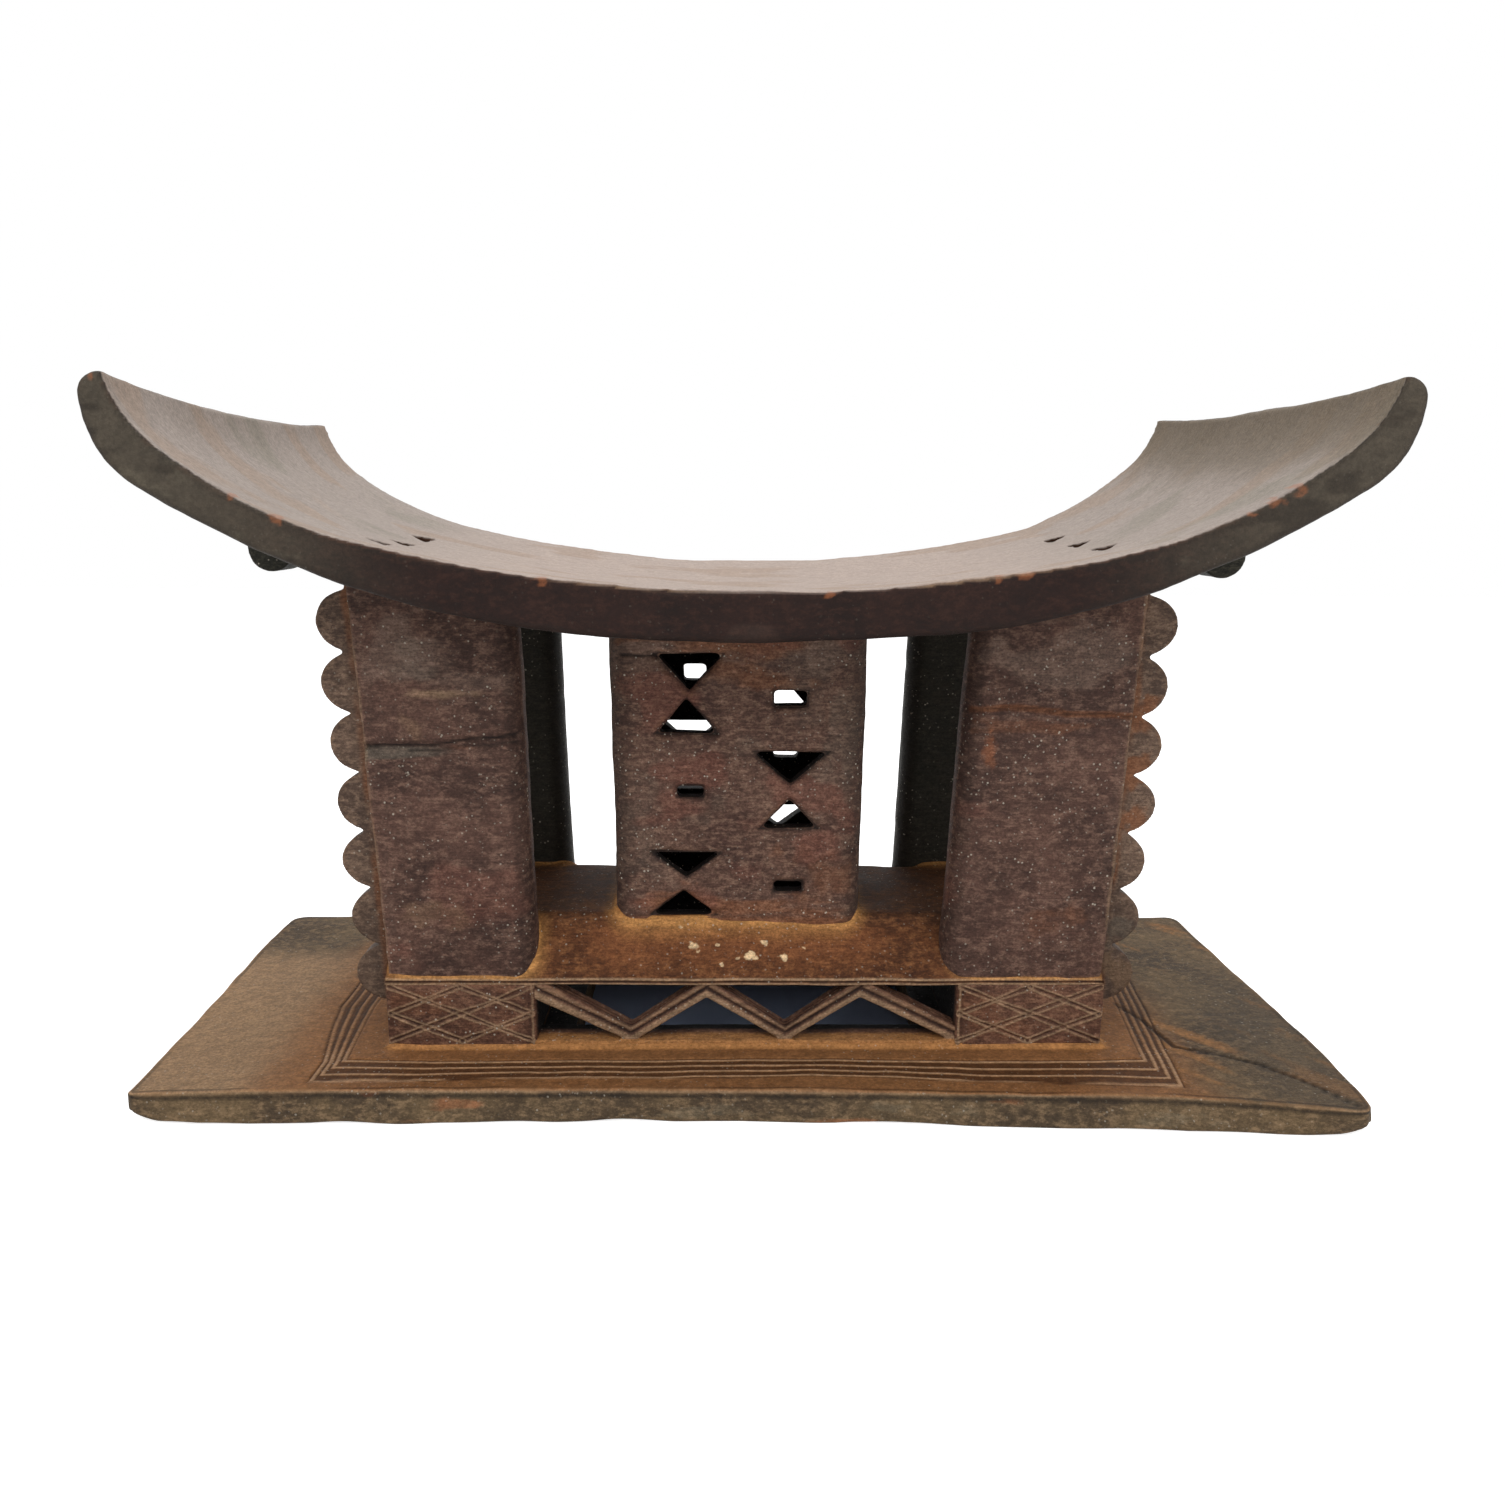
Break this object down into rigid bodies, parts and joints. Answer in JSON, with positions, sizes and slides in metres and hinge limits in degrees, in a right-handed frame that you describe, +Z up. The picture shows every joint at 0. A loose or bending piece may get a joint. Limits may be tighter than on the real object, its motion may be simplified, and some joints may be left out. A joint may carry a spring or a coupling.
{
  "type": "carved wooden stool",
  "caption": "Low carved stool: curved seat on a pierced hollow column and four scalloped corner slats, over a plinth with zigzag openwork and a flat base plate.",
  "frame": {"origin": "centre of the bounding box's bottom face: the middle of the base plate's underside, on the floor", "axes": "+Z up, +X along the long side of the seat and base towards the sitter's left as seen from the front, -Y towards the side shown in the picture"},
  "size_m": [0.54, 0.2426, 0.3105],
  "materials": {
    "seat": "worn, dry, pale on top and dark on the edge",
    "body": "dark stained, satin, with fine tool marks",
    "base": "dark stained, worn to brown"
  },
  "bodies": {
    "root": {"seat": "seat", "base_plate": "base", "plinth_deck": "body", "plinth_end_left": "body", "plinth_end_right": "body", "fret_front": "body", "fret_back": "body", "column_front_wall": "body", "column_back_wall": "body", "column_left_wall": "body", "column_right_wall": "body", "slat_front_left": "body", "slat_front_right": "body", "slat_back_left": "body", "slat_back_right": "body", "lobes_front_left": "body", "lobes_front_right": "body", "lobes_back_left": "body", "lobes_back_right": "body", "seat_lug_left": "body", "seat_lug_right": "body"}
  },
  "joints": []
}
